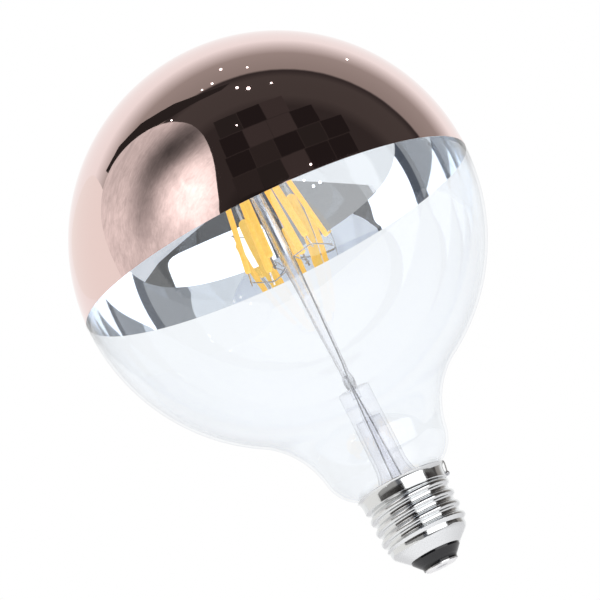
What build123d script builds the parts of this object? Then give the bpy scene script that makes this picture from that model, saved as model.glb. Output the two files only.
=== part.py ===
"""LED globe bulb: a clear blown globe, mirrored over its upper half, on an E27 screw cap.

The origin is the middle of the centre contact's flat face, +Z runs up through the cap and the
globe, and the front lead wire is on the -Y side. Outlines are drawn as (radius, height).
"""
import math
import os

from build123d import *

# Globe and neck, blown in one piece
GLOBE_DIAMETER = 125.0
GLASS_WALL = 0.8
NECK_RISE = 19.5
NECK_HOLLOW_RADIUS = 28.6
NECK_SHOULDER_RADIUS = 11.6
NECK_SEAL_ANGLE = 75.0
NECK_SEAL_DEPTH = 0.3
NECK_END_RADIUS = 11.3
NECK_END_DEPTH = 5.5

# Mirror, silver on the glass and tinted lacquer over it
MIRROR_EDGE_ABOVE_CENTRE = 0.8
MIRROR_TILT_ANGLE = 0.8
FILM_SEAT = 0.03
SILVER_THICKNESS = 0.12
LACQUER_THICKNESS = 0.16

# Stem, a flared tube with its upper end pinched shut round the leads
FLARE_TUBE_RADIUS = 5.0
FLARE_WALL = 0.9
BELL_RISE = 7.5
BELL_RADIUS = 14.0
PINCH_RISE = 15.5
PRESS_RISE = 22.5
PRESS_LENGTH = 9.0
PRESS_HALF_WIDTH = 4.9
PRESS_HALF_DEPTH = 3.2
PRESS_EDGE = 0.7
CAVITY_ROOF = 1.0
CAVITY_HALF_WIDTH = 3.9
CAVITY_HALF_DEPTH = 2.5
EXHAUST_RADIUS = 1.5
EXHAUST_WALL = 0.5
EXHAUST_NIP_RADIUS = 0.8
EXHAUST_TIP_CLEARANCE = 2.6
EXHAUST_HOLE_RADIUS = 0.5
EXHAUST_HOLE_RISE = 1.0

# Glass rod that carries the cage
ROD_RADIUS = 1.95
ROD_WAIST_RADIUS = 1.35
ROD_FOOT_DEPTH = 3.0
ROD_TAPER_LENGTH = 17.0
ROD_BEAD_RADIUS = 1.8
ROD_BEAD_HEIGHT = 5.0
ROD_KNOB_RADIUS = 2.5

# Filaments, six light strips that lean in towards the top
FILAMENT_LENGTH = 38.0
FILAMENT_WIDTH = 2.1
FILAMENT_THICKNESS = 1.5
FILAMENT_CORNER = 0.5
FILAMENT_END_RADIUS = 0.9
CAGE_DROP = 5.5
CAGE_SHIFT = 0.8
FILAMENT_AZIMUTHS = (71.7, 300.0, 352.5, 244.5, 120.0, 169.0)
FILAMENT_FOOT_RADII = (13.0, 14.4, 12.9, 11.7, 14.7, 13.4)
FILAMENT_FOOT_RISES = (1.0, 0.1, -0.3, -0.4, 0.6, 1.0)
PIN_WIDTH = 0.6
PIN_THICKNESS = 0.25
PIN_TO_WIRE = 2.9
PIN_TAIL = 1.1
PIN_BITE = 0.05

# Wires in the globe
LEAD_DIAMETER = 0.45
LEAD_GAP = 0.35
FRONT_LEAD_DROP = 1.5
REAR_LEAD_DROP = 4.0
LEAD_PAD_SIDE = 2.3
LEAD_PAD_DEPTH = 2.4
LEAD_PAD_RISE = 1.0
LEAD_LOWER_BEND = (-1.4, -2.0, 8.0)
LEAD_UPPER_BEND = (-0.7, -1.8, -2.5)
LEAD_PRESS_SIDE = 0.2
LEAD_PRESS_RISE = 0.5
LEAD_TWIST_AZIMUTH = -75.0
LEAD_TWIST_RISE = 8.0
LEAD_TOP_AZIMUTH = -38.0
CONTACT_WIRE_DIAMETER = 0.4
RING_DIAMETER = 0.5
RING_RADIUS = 6.85
RING_RISE = 40.4
SUPPORT_DIAMETER = 0.4
SUPPORT_AZIMUTHS = (20.0, 140.0, 260.0)
SUPPORT_DEPTH = 1.2
WIRE_BEND = 0.9
WELD_BEND = 0.45
WELD_LENGTH = 1.4
WIRE_TAIL = 1.2

# Cap shell, rolled from sheet with the 27 mm knuckle thread
CAP_HEIGHT = 27.5
CAP_SHEET = 0.3
CAP_RIM_RADIUS = 14.0
CAP_RIM_DEPTH = 1.1
COLLAR_RADIUS = 13.55
COLLAR_FOOT_RADIUS = 13.3
COLLAR_HEIGHT = 4.3
COLLAR_STEP = 0.8
THREAD_MAJOR_RADIUS = 13.2
THREAD_ROOT_RADIUS = 12.13
THREAD_PITCH = 3.629
THREAD_ARC_RADIUS = 1.025
THREAD_ROOT_FLAT = 0.03
THREAD_CREST_HEIGHT = 11.17
THREAD_FADE_HEIGHT = 9.7
SHOULDER_RADIUS = 2.5
CONE_ANGLE = 48.0
MOUTH_RADIUS = 8.2
MOUTH_HEIGHT = 4.4

# Insulator and centre contact
INSULATOR_TOP = 6.6
INSULATOR_BROW = 0.6
INSULATOR_WAIST_RADIUS = 6.05
INSULATOR_WAIST_HEIGHT = 1.9
INSULATOR_LIP_RADIUS = 5.45
EYELET_RADIUS = 1.3
EYELET_WALL = 0.25
EYELET_LENGTH = 3.4
CONTACT_RADIUS = 5.05
CONTACT_THICKNESS = 0.5
CONTACT_EDGE = 0.2
DIMPLE_RADIUS = 1.9
SOLDER_RECESS = 0.05
SOLDER_HEIGHT = 2.2
SIDE_SOLDER_RADIUS = 0.75

# Cement and driver inside the cap
CEMENT_WIDTH = 0.9
CEMENT_DROP = 1.5
CEMENT_TOP_DEPTH = 0.6
BOARD_WIDTH = 15.0
BOARD_CLEARANCE = 0.8
BOARD_THICKNESS = 0.8
HOOKUP_DIAMETER = 0.4
HOOKUP_BEND = 0.6
HOOKUP_PAD_RISE = 2.4
EYELET_LEAD_DEPTH = 2.2
EYELET_LEAD_STEP = 0.4
SIDE_LEAD_PAD = 6.4
SIDE_LEAD_TURN = 9.0
SIDE_LEAD_DEPTHS = (4.4, 3.0, 1.6)
SIDE_LEAD_ENTRY = 0.6
SIDE_LEAD_CHANNEL_DEPTH = 2.9
SIDE_LEAD_INNER_DEPTH = 0.4
SIDE_LEAD_OUTER_DEPTH = 0.7
SIDE_LEAD_FOOT_RISE = 0.5
SIDE_LEAD_BEND = 0.3
SIDE_LEAD_CLEARANCE = 0.1
CAPACITOR_DIAMETER = 6.3
CAPACITOR_LENGTH = 9.0
CAPACITOR_PLACE = (-2.7, 4.0)
CAPACITOR_GROOVE = 0.35
CAPACITOR_GROOVE_RISE = 1.44
RECTIFIER_SIZE = (4.7, 2.4, 3.8)
RECTIFIER_PLACE = (3.8, 3.0)
CHIP_SIZE = (4.9, 1.5, 3.9)
CHIP_PLACE = (2.9, 4.8)
PACKAGE_CHAMFER = 0.2
LEG_WIDTH = 0.4
LEG_REACH = 0.9
LEG_THICKNESS = 0.2
LEG_HEIGHT = 0.5
RESISTOR_DIAMETER = 2.4
RESISTOR_LENGTH = 6.4
RESISTOR_PLACE = (-4.6, 5.0)
RESISTOR_LIFT = 0.3
RESISTOR_EDGE = 0.5
RESISTOR_LEG = 1.1

# Heights and radii worked out from the sizes
LACQUER_BORE = GLOBE_DIAMETER / 2 - LACQUER_THICKNESS
SILVER_BORE = LACQUER_BORE - FILM_SEAT - SILVER_THICKNESS
GLASS_RADIUS = SILVER_BORE - FILM_SEAT
GLOBE_CENTRE = CAP_HEIGHT + NECK_RISE + GLOBE_DIAMETER / 2
NECK_BORE = NECK_END_RADIUS - GLASS_WALL
NECK_END_HEIGHT = CAP_HEIGHT - NECK_END_DEPTH
COLLAR_FOOT_HEIGHT = CAP_HEIGHT - COLLAR_HEIGHT
BELL_HEIGHT = CAP_HEIGHT + BELL_RISE
PINCH_START = CAP_HEIGHT + PINCH_RISE
PRESS_BOTTOM = CAP_HEIGHT + PRESS_RISE
PRESS_TOP = PRESS_BOTTOM + PRESS_LENGTH
ROD_FOOT = PRESS_TOP - ROD_FOOT_DEPTH
CAGE_LEVEL = GLOBE_CENTRE - CAGE_DROP
RING_LEVEL = CAGE_LEVEL + RING_RISE
PIN_CIRCLE = RING_RADIUS + (RING_DIAMETER + PIN_THICKNESS) / 2 - PIN_BITE
THREAD_CORE = THREAD_ROOT_RADIUS + THREAD_ROOT_FLAT
MOUTH_BORE = MOUTH_RADIUS - CAP_SHEET / math.cos(math.radians(CONE_ANGLE))
BOARD_BOTTOM = INSULATOR_TOP
BOARD_TOP = NECK_END_HEIGHT - BOARD_CLEARANCE
BOARD_FACE = BOARD_THICKNESS / 2
HOOKUP_FACE = BOARD_FACE + HOOKUP_DIAMETER / 2
EXHAUST_TIP = BOARD_TOP + EXHAUST_TIP_CLEARANCE
EXHAUST_HOLE = (PRESS_BOTTOM + ROD_FOOT) / 2 + EXHAUST_HOLE_RISE
EXHAUST_NIP = EXHAUST_HOLE + EXHAUST_HOLE_RADIUS
PIN_LENGTH = PIN_TO_WIRE + PIN_TAIL


def polar(radius, azimuth, height):
    angle = math.radians(azimuth)
    return Vector(radius * math.cos(angle), radius * math.sin(angle), height)


def half_turn(point):
    """The same place on the other side of the Z axis."""
    return Vector(-point.X, -point.Y, point.Z)


def spin(outline):
    """A closed outline of radius and height, turned once round the Z axis."""
    return revolve(Plane.XZ * make_face(outline), axis=Axis.Z)


def disc(radius, bottom, top):
    """A plain turned cylinder between two heights."""
    return spin(Polyline((0, bottom), (radius, bottom), (radius, top), (0, top), close=True))


def wire_along(points, diameter, bend=WIRE_BEND):
    """A round wire along straight runs that tangent bends join."""
    path = FilletPolyline(*points, radius=bend) if len(points) > 2 else Line(*points)
    return sweep(Plane(origin=path @ 0, z_dir=path % 0) * Circle(diameter / 2), path=path)


def arc_point(centre, radius, angle):
    """The point of a circle in an outline, with the angle in degrees up from the radius axis."""
    turn = math.radians(angle)
    return Vector(centre.X + radius * math.cos(turn), centre.Y + radius * math.sin(turn))


def arc_between(centre, radius, first, last):
    stops = (first, (first + last) / 2, last)
    return ThreePointArc(*(arc_point(centre, radius, angle) for angle in stops))


def crossing_of_circles(first, first_radius, second, second_radius):
    """The crossing that lies on the left of the way from the first centre to the second."""
    between = second - first
    way = between.normalized()
    along = (first_radius**2 - second_radius**2 + between.length**2) / (2 * between.length)
    aside = math.sqrt(first_radius**2 - along**2)
    return first + way * along + Vector(-way.Y, way.X) * aside


def heading(start, end):
    """The angle of the way from one point of an outline to another."""
    return math.degrees(math.atan2(end.Y - start.Y, end.X - start.X))


def glass_body(inset, bottom):
    """The globe and neck as one filled body, its surface moved inwards by inset.

    The neck leaves the cap in a bulging arc, and a hollow arc leads on from it into the globe.
    """
    globe = Vector(0, GLOBE_CENTRE)
    sealed = Vector(NECK_END_RADIUS, CAP_HEIGHT - NECK_SEAL_DEPTH)
    shoulder = arc_point(sealed, NECK_SHOULDER_RADIUS, 180 - NECK_SEAL_ANGLE)
    globe_reach = GLASS_RADIUS + NECK_HOLLOW_RADIUS
    hollow = crossing_of_circles(globe, globe_reach, shoulder, NECK_HOLLOW_RADIUS + NECK_SHOULDER_RADIUS)
    leave = heading(globe, hollow)
    waist = heading(hollow, shoulder)
    neck = NECK_END_RADIUS - inset
    shoulder_radius = NECK_SHOULDER_RADIUS - inset
    seal = -math.degrees(math.acos((neck - shoulder.X) / shoulder_radius))
    crown = arc_between(globe, GLASS_RADIUS - inset, 90, leave)
    waist_arc = arc_between(hollow, NECK_HOLLOW_RADIUS + inset, leave + 180, waist)
    shoulder_arc = arc_between(shoulder, shoulder_radius, waist - 180, seal)
    end = shoulder_arc @ 1
    top = GLOBE_CENTRE + GLASS_RADIUS - inset
    straight = Polyline((end.X, end.Y), (neck, bottom), (0, bottom), (0, top))
    return spin(crown + waist_arc + shoulder_arc + straight)


def glass_globe():
    return glass_body(0, NECK_END_HEIGHT) - glass_body(GLASS_WALL, NECK_END_HEIGHT - 1)


def mirror_layer(inner, thickness):
    """A thin cup over the upper half of the globe. Its edge runs a little askew to the cap."""
    outer = inner + thickness
    edge = MIRROR_EDGE_ABOVE_CENTRE
    globe = Vector(0, GLOBE_CENTRE)
    outside = arc_between(globe, outer, math.degrees(math.asin(edge / outer)), 90)
    inside = arc_between(globe, inner, 90, math.degrees(math.asin(edge / inner)))
    cup = spin(outside + Line(outside @ 1, inside @ 0) + inside + Line(inside @ 1, outside @ 0))
    return cup.rotate(Axis((0, 0, GLOBE_CENTRE), (0, 1, 0)), MIRROR_TILT_ANGLE)


def pinch(first_radius, first_height, half_width, half_depth, last_height):
    """The part of a tube that changes from round to the oval of the press."""
    round_end = Plane.XY.offset(first_height) * Circle(first_radius)
    oval_end = Plane.XY.offset(last_height) * Ellipse(half_width, half_depth)
    return loft([round_end, oval_end])


def stem_flare(held):
    """The flared tube and its press. What is held in the press leaves its own bed in the glass."""
    bell = Vector(FLARE_TUBE_RADIUS + BELL_RADIUS, BELL_HEIGHT)
    under = BELL_RADIUS + FLARE_WALL
    bore = FLARE_TUBE_RADIUS - FLARE_WALL
    reach = bell.X - NECK_BORE
    upper = arc_between(bell, BELL_RADIUS, 180, 180 + math.degrees(math.acos(reach / BELL_RADIUS)))
    lower = arc_between(bell, under, 180 + math.degrees(math.acos(reach / under)), 180)
    rim = Line(upper @ 1, lower @ 0)
    tube = Polyline(lower @ 1, (bore, PINCH_START), (FLARE_TUBE_RADIUS, PINCH_START), upper @ 0)
    skirt = spin(upper + rim + lower + tube)
    outside = pinch(FLARE_TUBE_RADIUS, PINCH_START, PRESS_HALF_WIDTH, PRESS_HALF_DEPTH, PRESS_BOTTOM)
    inside = pinch(bore, PINCH_START, CAVITY_HALF_WIDTH, CAVITY_HALF_DEPTH, PRESS_BOTTOM - CAVITY_ROOF)
    oval = Plane.XY.offset(PRESS_BOTTOM) * Ellipse(PRESS_HALF_WIDTH, PRESS_HALF_DEPTH)
    press = extrude(oval, PRESS_TOP - PRESS_BOTTOM)
    press = fillet(press.edges().group_by(Axis.Z)[-1], PRESS_EDGE)
    way_out = [Vector(0, 0, EXHAUST_HOLE), Vector(-PRESS_HALF_WIDTH - EXHAUST_RADIUS, 0, EXHAUST_HOLE)]
    hole = wire_along(way_out, 2 * EXHAUST_HOLE_RADIUS)
    stem = skirt + (outside - inside) + press
    for piece in (*held, hole):
        stem -= piece
    return stem


def exhaust_tube(bored=True):
    """The pumping tube, drawn thin in the press and melted shut at its lower tip."""
    tip = Vector(0, EXHAUST_TIP + EXHAUST_RADIUS)
    nip = Vector(0, EXHAUST_NIP)
    end = arc_between(tip, EXHAUST_RADIUS, -90, 0)
    side = Polyline(end @ 1, (EXHAUST_RADIUS, PRESS_BOTTOM), (EXHAUST_NIP_RADIUS, nip.Y), nip, end @ 0)
    tube = spin(end + side)
    if not bored:
        return tube
    bore = EXHAUST_RADIUS - EXHAUST_WALL
    inner_end = arc_between(tip, bore, -90, 0)
    top = (EXHAUST_HOLE_RADIUS, nip.Y)
    return tube - spin(inner_end + Polyline(inner_end @ 1, (bore, PRESS_BOTTOM), top, nip, inner_end @ 0))


def filament_place(azimuth, radius, rise):
    """The plane at a filament's foot. Its Z axis leans in to the ring above, its Y axis points in."""
    out = polar(1, azimuth, 0)
    foot = Vector(CAGE_SHIFT, 0, CAGE_LEVEL + rise) + out * radius
    along = Vector(0, 0, RING_RISE - rise) - out * (radius - PIN_CIRCLE)
    return Plane(origin=foot, x_dir=out.cross(Vector(0, 0, -1)), z_dir=along)


def filament(place):
    """A strip with rounded ends and edges that stands on the plane at its foot."""
    front = Plane.XZ * Pos(0, FILAMENT_LENGTH / 2) * RectangleRounded(
        FILAMENT_WIDTH, FILAMENT_LENGTH, FILAMENT_END_RADIUS
    )
    strip = extrude(front, FILAMENT_THICKNESS / 2, both=True)
    faces = strip.edges().group_by(Axis.Y)
    return place * fillet(faces[0] + faces[-1], FILAMENT_CORNER)


def pin(place, start):
    """A flat metal end strip. It starts at the given distance along its filament."""
    lift = start if start > 0 else start - PIN_LENGTH
    strip = Box(PIN_WIDTH, PIN_THICKNESS, PIN_LENGTH, align=(Align.CENTER, Align.CENTER, Align.MIN))
    return place * Pos(0, 0, lift) * strip


def weld(place, towards):
    """The straight bit of wire that lies across the inner face of a lower pin."""
    inwards = (CONTACT_WIRE_DIAMETER + PIN_THICKNESS) / 2 - PIN_BITE
    seat = place.origin - place.z_dir * PIN_TO_WIRE + place.y_dir * inwards
    across = place.x_dir * (WELD_LENGTH / 2)
    if across.dot(towards) < 0:
        across = across * -1
    return seat - across, seat + across


def lead_points(top):
    """The front lead from the board, through the press and up beside the rod."""
    touch = BOARD_FACE + LEAD_DIAMETER / 2
    bead_side = ROD_BEAD_RADIUS + LEAD_DIAMETER / 2 + LEAD_GAP
    rod_side = ROD_RADIUS + LEAD_DIAMETER / 2 + LEAD_GAP
    return [
        Vector(-LEAD_PAD_SIDE, -touch, BOARD_TOP - LEAD_PAD_DEPTH),
        Vector(-LEAD_PAD_SIDE, -touch, BOARD_TOP + LEAD_PAD_RISE),
        Vector(*LEAD_LOWER_BEND) + Vector(0, 0, BOARD_TOP),
        Vector(*LEAD_UPPER_BEND) + Vector(0, 0, PRESS_BOTTOM),
        Vector(-LEAD_PRESS_SIDE, -bead_side, PRESS_TOP + LEAD_PRESS_RISE),
        polar(rod_side, LEAD_TWIST_AZIMUTH, PRESS_TOP + LEAD_TWIST_RISE),
        polar(rod_side, LEAD_TOP_AZIMUTH, top),
    ]


def contact_wire(lead_top, places):
    """The wire across a lead's end that joins the lower pins of three filaments."""
    first, second, third = places
    crossing = lead_top + Vector(0, 0, CONTACT_WIRE_DIAMETER / 2)
    start, leave = weld(first, crossing - first.origin)
    reach, pass_on = weld(second, third.origin - crossing)
    arrive, end = weld(third, third.origin - second.origin)
    tail = end + (end - arrive).normalized() * WIRE_TAIL
    route = [start, leave, crossing, reach, pass_on, arrive, tail]
    return wire_along(route, CONTACT_WIRE_DIAMETER, WELD_BEND)


def stem_rod(supports):
    """The glass rod with its foot in the press, a bead just above it and a knob at the top."""
    bead = PRESS_TOP + ROD_BEAD_HEIGHT
    knob_base = RING_LEVEL - math.sqrt(ROD_KNOB_RADIUS**2 - ROD_RADIUS**2)
    top = RING_LEVEL + ROD_KNOB_RADIUS
    waist = ROD_WAIST_RADIUS
    swell = ThreePointArc((waist, PRESS_TOP), (ROD_BEAD_RADIUS, (PRESS_TOP + bead) / 2), (waist, bead))
    side = Polyline((waist, bead), (ROD_RADIUS, bead + ROD_TAPER_LENGTH), (ROD_RADIUS, knob_base))
    knob = ThreePointArc((ROD_RADIUS, knob_base), (ROD_KNOB_RADIUS, RING_LEVEL), (0, top))
    middle = Polyline((0, top), (0, ROD_FOOT), (waist, ROD_FOOT), (waist, PRESS_TOP))
    return spin(swell + side + knob + middle) - supports


def ridge(inset):
    """The thread ridge from below the cap's shoulder to above the foot of its collar.

    Crest and flanks are arcs that touch, as on every knuckle thread.
    """
    crest = THREAD_ARC_RADIUS - inset
    trough = THREAD_ARC_RADIUS + inset
    core = THREAD_CORE - inset
    crest_centre = Vector(THREAD_MAJOR_RADIUS - THREAD_ARC_RADIUS, 0)
    half_pitch = THREAD_PITCH / 2
    turn = math.degrees(math.asin(half_pitch / (2 * THREAD_ARC_RADIUS)))
    drop = 2 * THREAD_ARC_RADIUS * math.cos(math.radians(turn))
    trough_centre = Vector(crest_centre.X + drop, half_pitch)
    low_centre = Vector(trough_centre.X, -half_pitch)
    meet = math.degrees(math.acos((trough_centre.X - core) / trough))
    top = arc_between(crest_centre, crest, -turn, turn)
    upper = arc_between(trough_centre, trough, 180 + turn, 180 + meet)
    lower = arc_between(low_centre, trough, 180 - meet, 180 - turn)
    root = core - CAP_SHEET
    back = Polyline(upper @ 1, (root, (upper @ 1).Y), (root, (lower @ 0).Y), lower @ 0)
    section = Plane.XZ * make_face(lower + top + upper + back)
    turns = math.ceil((COLLAR_FOOT_HEIGHT - THREAD_FADE_HEIGHT) / THREAD_PITCH) + 2
    path = Helix(THREAD_PITCH, turns * THREAD_PITCH, THREAD_CORE)
    start = THREAD_CREST_HEIGHT - THREAD_PITCH
    return Pos(0, 0, start) * sweep(section, path=path, is_frenet=True)


def thread_limits(inset):
    """The space in which the ridge shows: it fades out below, and the collar takes it in above."""
    core = THREAD_CORE - inset - 0.05
    crest = THREAD_MAJOR_RADIUS + 0.2
    low = THREAD_FADE_HEIGHT + inset / 2
    high = low + crest - core
    top = COLLAR_FOOT_HEIGHT
    return spin(Polyline((0, low), (core, low), (crest, high), (crest, top), (0, top), close=True))


def cap_body(inset, top, bottom):
    """The cap without its thread as a filled body, its surface moved inwards by inset."""
    core = THREAD_CORE - inset
    tangent = math.tan(math.radians(CONE_ANGLE))
    mouth = MOUTH_RADIUS - inset / math.cos(math.radians(CONE_ANGLE))
    corner = MOUTH_HEIGHT + (core - mouth) / tangent
    low = mouth - (MOUTH_HEIGHT - bottom) * tangent
    rim = CAP_RIM_RADIUS - inset
    points = [
        (rim, top),
        (rim, CAP_HEIGHT),
        (COLLAR_RADIUS - inset, CAP_HEIGHT - CAP_RIM_DEPTH),
        (COLLAR_FOOT_RADIUS - inset, COLLAR_FOOT_HEIGHT),
        (core, COLLAR_FOOT_HEIGHT - COLLAR_STEP),
        (core, corner),
        (low, bottom),
    ]
    if top == CAP_HEIGHT:
        points = points[1:]
    side = Polyline(*points)
    profile = make_face(side + Polyline(points[-1], (0, bottom), (0, top), points[0]))
    shoulder = profile.vertices().sort_by_distance(Vector(core, corner))[0]
    profile = fillet(shoulder, SHOULDER_RADIUS - inset)
    return revolve(Plane.XZ * profile, axis=Axis.Z)


def cap_shell():
    """The rolled sheet: the same knuckle form stands out on the outside and in on the inside."""
    outside = cap_body(0, CAP_HEIGHT, MOUTH_HEIGHT) + (ridge(0) & thread_limits(0))
    inside = cap_body(CAP_SHEET, CAP_HEIGHT + 1, MOUTH_HEIGHT - 1)
    return outside - (inside + (ridge(CAP_SHEET) & thread_limits(CAP_SHEET)))


def cap_insulator():
    """Black glass poured into the cap's cone, drawn in to the contact below it."""
    inside = cap_body(CAP_SHEET, CAP_HEIGHT + 1, MOUTH_HEIGHT)
    plug = inside & disc(CAP_RIM_RADIUS, MOUTH_HEIGHT, INSULATOR_TOP)
    brow = (MOUTH_BORE, MOUTH_HEIGHT - INSULATOR_BROW)
    waist = (INSULATOR_WAIST_RADIUS, INSULATOR_WAIST_HEIGHT)
    lip = (INSULATOR_LIP_RADIUS, CONTACT_THICKNESS)
    draw = ThreePointArc(waist, (INSULATOR_LIP_RADIUS + 0.05, (waist[1] + lip[1]) / 2), lip)
    side = Polyline((0, CONTACT_THICKNESS), (0, MOUTH_HEIGHT), (MOUTH_BORE, MOUTH_HEIGHT), brow, waist)
    foot = Line(lip, (0, CONTACT_THICKNESS))
    return plug + spin(side + draw + foot) - disc(EYELET_RADIUS, 0, INSULATOR_TOP)


def centre_contact():
    """The stamped disc, dished round its hole, with the eyelet that goes up into the insulator."""
    bore = EYELET_RADIUS - EYELET_WALL
    edge = arc_between(Vector(CONTACT_RADIUS - CONTACT_EDGE, CONTACT_EDGE), CONTACT_EDGE, -90, 0)
    top = CONTACT_THICKNESS + EYELET_LENGTH
    side = Polyline(
        edge @ 1,
        (CONTACT_RADIUS, CONTACT_THICKNESS),
        (EYELET_RADIUS, CONTACT_THICKNESS),
        (EYELET_RADIUS, top),
        (bore, top),
        (bore, CONTACT_THICKNESS),
        (DIMPLE_RADIUS, 0),
        edge @ 0,
    )
    return spin(edge + side)


def contact_solder(lead):
    bore = EYELET_RADIUS - EYELET_WALL
    face = DIMPLE_RADIUS - (DIMPLE_RADIUS - bore) * SOLDER_RECESS / CONTACT_THICKNESS
    outline = Polyline(
        (0, SOLDER_RECESS),
        (face, SOLDER_RECESS),
        (bore, CONTACT_THICKNESS),
        (bore, SOLDER_HEIGHT),
        (0, SOLDER_HEIGHT),
        close=True,
    )
    return spin(outline) - lead


def contact_lead():
    """The wire from the driver board down through the eyelet."""
    return wire_along(
        [
            Vector(0, 0, CONTACT_THICKNESS),
            Vector(0, 0, INSULATOR_TOP - EYELET_LEAD_DEPTH),
            Vector(0, -HOOKUP_FACE, INSULATOR_TOP - EYELET_LEAD_STEP),
            Vector(0, -HOOKUP_FACE, BOARD_BOTTOM + HOOKUP_PAD_RISE),
        ],
        HOOKUP_DIAMETER,
        HOOKUP_BEND,
    )


def side_lead():
    """The wire from the driver board, up beside the neck, over the rim and down the collar."""
    start, bend, turn = (BOARD_TOP - depth for depth in SIDE_LEAD_DEPTHS)
    channel = (NECK_END_RADIUS + THREAD_CORE - CAP_SHEET) / 2
    rim_inside = CAP_RIM_RADIUS - CAP_SHEET - HOOKUP_DIAMETER / 2 - SIDE_LEAD_CLEARANCE
    rim_outside = CAP_RIM_RADIUS + HOOKUP_DIAMETER / 2 + SIDE_LEAD_CLEARANCE / 2
    over = CAP_HEIGHT + HOOKUP_DIAMETER / 2 + SIDE_LEAD_CLEARANCE
    return wire_along(
        [
            Vector(SIDE_LEAD_PAD, -HOOKUP_FACE, start),
            Vector(SIDE_LEAD_PAD, -HOOKUP_FACE, bend),
            Vector(SIDE_LEAD_TURN, -HOOKUP_FACE, turn),
            Vector(channel, 0, NECK_END_HEIGHT - SIDE_LEAD_ENTRY),
            Vector(channel, 0, CAP_HEIGHT - SIDE_LEAD_CHANNEL_DEPTH),
            Vector(rim_inside, 0, CAP_HEIGHT - SIDE_LEAD_INNER_DEPTH),
            Vector(rim_inside, 0, over),
            Vector(rim_outside, 0, over),
            Vector(rim_outside, 0, CAP_HEIGHT - SIDE_LEAD_OUTER_DEPTH),
            Vector(COLLAR_RADIUS + HOOKUP_DIAMETER / 2, 0, COLLAR_FOOT_HEIGHT + SIDE_LEAD_FOOT_RISE),
        ],
        HOOKUP_DIAMETER,
        SIDE_LEAD_BEND,
    )


def side_solder(lead):
    centre = Pos(COLLAR_RADIUS + SIDE_LEAD_CLEARANCE, 0, COLLAR_FOOT_HEIGHT + SIDE_SOLDER_RADIUS)
    return centre * Sphere(SIDE_SOLDER_RADIUS) - cap_body(0, CAP_HEIGHT, MOUTH_HEIGHT) - lead


def basing_cement(lead):
    """The ring of cement that holds the neck in the cap."""
    bottom = NECK_END_HEIGHT - CEMENT_DROP
    top = CAP_HEIGHT - CEMENT_TOP_DEPTH
    inner = NECK_END_RADIUS - CEMENT_WIDTH
    ring = disc(CAP_RIM_RADIUS, bottom, top) - disc(inner, bottom, top)
    cavity = cap_body(CAP_SHEET, CAP_HEIGHT + 1, MOUTH_HEIGHT)
    return (ring & cavity) - glass_body(0, NECK_END_HEIGHT) - lead


def driver_board():
    height = BOARD_TOP - BOARD_BOTTOM
    board = Box(BOARD_WIDTH, BOARD_THICKNESS, height, align=(Align.CENTER, Align.CENTER, Align.MIN))
    return Pos(0, 0, BOARD_BOTTOM) * board


def capacitor():
    """A can with the rolled groove near its rubber end, lying on the board's rear face."""
    x, rise = CAPACITOR_PLACE
    radius = CAPACITOR_DIAMETER / 2
    groove = CAPACITOR_GROOVE_RISE
    low_edge = (radius, groove - CAPACITOR_GROOVE)
    high_edge = (radius, groove + CAPACITOR_GROOVE)
    dip = ThreePointArc(low_edge, (radius - CAPACITOR_GROOVE, groove), high_edge)
    top = Polyline(high_edge, (radius, CAPACITOR_LENGTH), (0, CAPACITOR_LENGTH), (0, 0))
    low = Polyline((0, 0), (radius, 0), low_edge)
    return Pos(x, BOARD_FACE + radius, BOARD_BOTTOM + rise) * spin(low + dip + top)


def packaged_part(size, place, side, pairs):
    """A moulded part with rows of bent legs on the board. Side is 1 behind and -1 in front."""
    width, depth, height = size
    x, rise = place
    z = BOARD_BOTTOM + rise
    body = Pos(x, side * (BOARD_FACE + LEG_THICKNESS + depth / 2), z) * Box(width, depth, height)
    part = chamfer(body.edges().filter_by(Axis.Z), PACKAGE_CHAMFER)
    for index in range(pairs):
        offset = (index - (pairs - 1) / 2) * width / pairs
        leg = Box(LEG_WIDTH, LEG_HEIGHT, height + 2 * LEG_REACH)
        part += Pos(x + offset, side * (BOARD_FACE + LEG_HEIGHT / 2), z) * leg
    return part


def fusible_resistor():
    """A lacquered resistor that stands off the board on its two wires."""
    x, rise = RESISTOR_PLACE
    y = -(BOARD_FACE + RESISTOR_DIAMETER / 2 + RESISTOR_LIFT)
    z = BOARD_BOTTOM + rise
    reach = RESISTOR_LENGTH / 2 + RESISTOR_LEG
    body = Pos(x, y, z) * fillet(Cylinder(RESISTOR_DIAMETER / 2, RESISTOR_LENGTH).edges(), RESISTOR_EDGE)
    legs = [
        Vector(x, -BOARD_FACE, z - reach),
        Vector(x, y, z - reach),
        Vector(x, y, z + reach),
        Vector(x, -BOARD_FACE, z + reach),
    ]
    return body + wire_along(legs, HOOKUP_DIAMETER, RESISTOR_EDGE)


# Cage: the six filaments between the contact wires below and the ring above
feet = zip(FILAMENT_AZIMUTHS, FILAMENT_FOOT_RADII, FILAMENT_FOOT_RISES)
places = [filament_place(*foot) for foot in feet]
front_points = lead_points(CAGE_LEVEL - FRONT_LEAD_DROP)
rear_points = [half_turn(point) for point in lead_points(CAGE_LEVEL - REAR_LEAD_DROP)]
front_lead = wire_along(front_points, LEAD_DIAMETER)
rear_lead = wire_along(rear_points, LEAD_DIAMETER)
top_ring = Pos(CAGE_SHIFT, 0, RING_LEVEL) * Torus(RING_RADIUS, RING_DIAMETER / 2)
supports = Part()
for azimuth in SUPPORT_AZIMUTHS:
    held = polar(ROD_KNOB_RADIUS - SUPPORT_DEPTH, azimuth, RING_LEVEL)
    reach = Vector(CAGE_SHIFT, 0, RING_LEVEL) + polar(RING_RADIUS - RING_DIAMETER / 2, azimuth, 0)
    supports += wire_along([held, reach], SUPPORT_DIAMETER)
rod = stem_rod(supports)
front_wire = contact_wire(front_points[-1], places[:3])
rear_wire = contact_wire(rear_points[-1], places[3:])
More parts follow.
